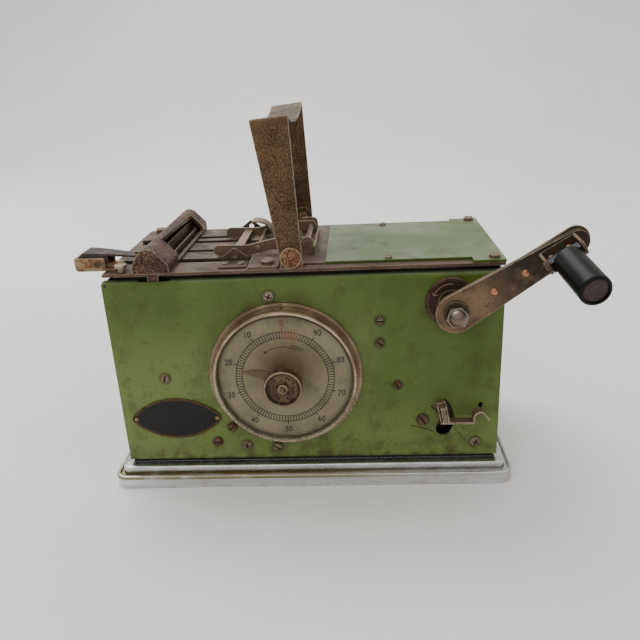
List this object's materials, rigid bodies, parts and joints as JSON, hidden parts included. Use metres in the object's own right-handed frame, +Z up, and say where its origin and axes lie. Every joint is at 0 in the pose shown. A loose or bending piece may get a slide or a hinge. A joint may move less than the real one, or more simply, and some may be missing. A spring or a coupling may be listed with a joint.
{
  "type": "bus conductor ticket machine",
  "caption": "Hand-cranked ticket machine: green sheet-steel case on a stepped base, slotted bed with press head and hold-down yoke, counting dial, selector lever, folding crank and carry handle.",
  "frame": {"origin": "centre of the base's flat underside", "axes": "+X runs to the right along the dial's face, +Y to the back, +Z up; the dial, crank and selector face -Y"},
  "size_m": [0.3219, 0.2065, 0.2507],
  "materials": {
    "green_paint": "semi-gloss enamel, dusty and worn",
    "base_metal": "worn plating, dull",
    "bed_steel": "browned, worn",
    "rusty_steel": "brown, surface rust",
    "brown_steel": "oiled brown patina",
    "plum_steel": "worn paint",
    "bright_steel": "tarnished",
    "inner_steel": "plain, oiled",
    "brass": "tarnished",
    "copper": "coppered, worn",
    "black_handle": "satin",
    "black_plate": "satin enamel",
    "dial_enamel": "aged enamel, printed in black and red",
    "dial_glass": "clear, dusty"
  },
  "bodies": {
    "housing": {"base_moulding": "base_metal", "base_plate": "inner_steel", "front_panel": "green_paint", "rear_panel": "green_paint", "left_end_panel": "green_paint", "right_end_panel": "green_paint", "front_frame_plate": "inner_steel", "rear_frame_plate": "inner_steel", "frame_posts": "inner_steel", "panel_standoffs": "inner_steel", "bed_plate": "bed_steel", "top_cover": "green_paint", "dial_bezel": "bed_steel", "dial_face": "dial_enamel", "dial_glass": "dial_glass", "nameplate": "black_plate", "nameplate_rivets": "brass", "cross_head_screws": "bright_steel", "slotted_screws": "bright_steel", "crank_escutcheon": "brown_steel", "crank_bushes": "brass", "selector_screw": "bright_steel", "gear_studs": "inner_steel", "stop_bracket": "rusty_steel", "flap_pin": "brown_steel", "deck_plates": "bed_steel", "guide_brackets": "bed_steel", "deck_screws": "bright_steel", "yoke_shaft": "bright_steel", "yoke_bracket": "brown_steel", "handle_ears": "rusty_steel", "handle_pivots": "copper"},
    "crank": {"crank_shaft": "inner_steel", "crank_arm": "brown_steel", "crank_washer": "bright_steel", "crank_nut": "bright_steel", "crank_rivets": "copper", "grip_bracket": "brown_steel", "grip_hinge_pin": "bright_steel"},
    "grip_block": {"grip_fork": "black_handle", "grip_end_cap": "black_handle"},
    "grip": {"crank_grip": "black_handle"},
    "pointer": {"dial_pointer": "brown_steel", "pointer_arbor": "inner_steel", "pointer_knob": "bed_steel"},
    "first_wheel": {"first_wheel": "brass"},
    "second_wheel": {"second_wheel": "brass"},
    "idler": {"idler_wheel": "brass"},
    "selector": {"selector_lever": "rusty_steel"},
    "press": {"press_head": "rusty_steel", "press_blade": "bed_steel", "press_yoke": "inner_steel"},
    "rocker": {"press_rocker": "inner_steel"},
    "connecting_rod": {"pitman_rod": "inner_steel"},
    "flap": {"stop_flap": "plum_steel"},
    "thumb_screw": {"thumb_screw": "bright_steel"},
    "yoke": {"hold_down_yoke": "rusty_steel", "yoke_spring": "bright_steel"},
    "handle": {"carry_handle": "rusty_steel"},
    "feed": {"feed_shaft": "inner_steel"}
  },
  "joints": [
    {"name": "crank_spin", "type": "hinge", "parent": "housing", "child": "crank", "pos_m": [0.0959, -0.082, 0.1316], "axis": [0, -1, 0], "continuous": true},
    {"name": "grip_fold", "type": "hinge", "parent": "crank", "child": "grip_block", "pos_m": [0.15526, -0.0914, 0.16869], "axis": [0.848, 0, 0.5299], "range_deg": [-12, 56]},
    {"name": "grip_spin", "type": "hinge", "parent": "grip_block", "child": "grip", "pos_m": [0.15526, -0.0914, 0.16869], "axis": [0.1102, -0.9781, -0.1763], "continuous": true},
    {"name": "first_wheel_spin", "type": "hinge", "parent": "housing", "child": "first_wheel", "pos_m": [0.06963, -0.04, 0.11979], "axis": [0, -1, 0], "continuous": true},
    {"name": "second_wheel_spin", "type": "hinge", "parent": "housing", "child": "second_wheel", "pos_m": [0.04775, -0.045, 0.10994], "axis": [0, -1, 0], "continuous": true},
    {"name": "idler_spin", "type": "hinge", "parent": "housing", "child": "idler", "pos_m": [0.02809, -0.048, 0.09549], "axis": [0, -1, 0], "continuous": true},
    {"name": "pointer_spin", "type": "hinge", "parent": "housing", "child": "pointer", "pos_m": [-0.0135, -0.06, 0.0824], "axis": [0, -1, 0], "continuous": true},
    {"name": "selector_turn", "type": "hinge", "parent": "housing", "child": "selector", "pos_m": [0.0786, -0.06, 0.0462], "axis": [0, 1, 0], "range_deg": [-6, 35]},
    {"name": "press_lift", "type": "slide", "parent": "housing", "child": "press", "axis": [0, 0, 1], "range_m": [0, 0.0035]},
    {"name": "rocker_tilt", "type": "hinge", "parent": "housing", "child": "rocker", "pos_m": [-0.07, 0, 0.1], "axis": [0, 1, 0], "range_deg": [0, 7.76]},
    {"name": "rod_push", "type": "slide", "parent": "housing", "child": "connecting_rod", "axis": [-1, 0, 0], "range_m": [0, 0.00406]},
    {"name": "flap_tilt", "type": "hinge", "parent": "housing", "child": "flap", "pos_m": [-0.1344, -0.04, 0.1607], "axis": [0, 1, 0], "range_deg": [-12, 8]},
    {"name": "thumb_screw_turn", "type": "hinge", "parent": "housing", "child": "thumb_screw", "pos_m": [-0.1176, -0.0536, 0.159], "axis": [0, 0, 1], "continuous": true},
    {"name": "yoke_lift", "type": "hinge", "parent": "housing", "child": "yoke", "pos_m": [0.0032, 0, 0.1638], "axis": [0, 1, 0], "range_deg": [0, 35]},
    {"name": "handle_fold", "type": "hinge", "parent": "housing", "child": "handle", "pos_m": [-0.005, 0, 0.1645], "axis": [0, 1, 0], "range_deg": [-65, 92]},
    {"name": "feed_spin", "type": "hinge", "parent": "housing", "child": "feed", "pos_m": [-0.05, 0, 0.1468], "axis": [0, 1, 0], "continuous": true}
  ],
  "couplings": [
    {"joint": "first_wheel_spin", "follows": "crank_spin", "ratio": -0.2},
    {"joint": "second_wheel_spin", "follows": "crank_spin", "ratio": 0.05},
    {"joint": "idler_spin", "follows": "crank_spin", "ratio": -0.012245},
    {"joint": "pointer_spin", "follows": "crank_spin", "ratio": 0.01},
    {"joint": "rocker_tilt", "follows": "press_lift", "rad_per_m": 38.462},
    {"joint": "rod_push", "follows": "press_lift", "ratio": 1.1539}
  ]
}
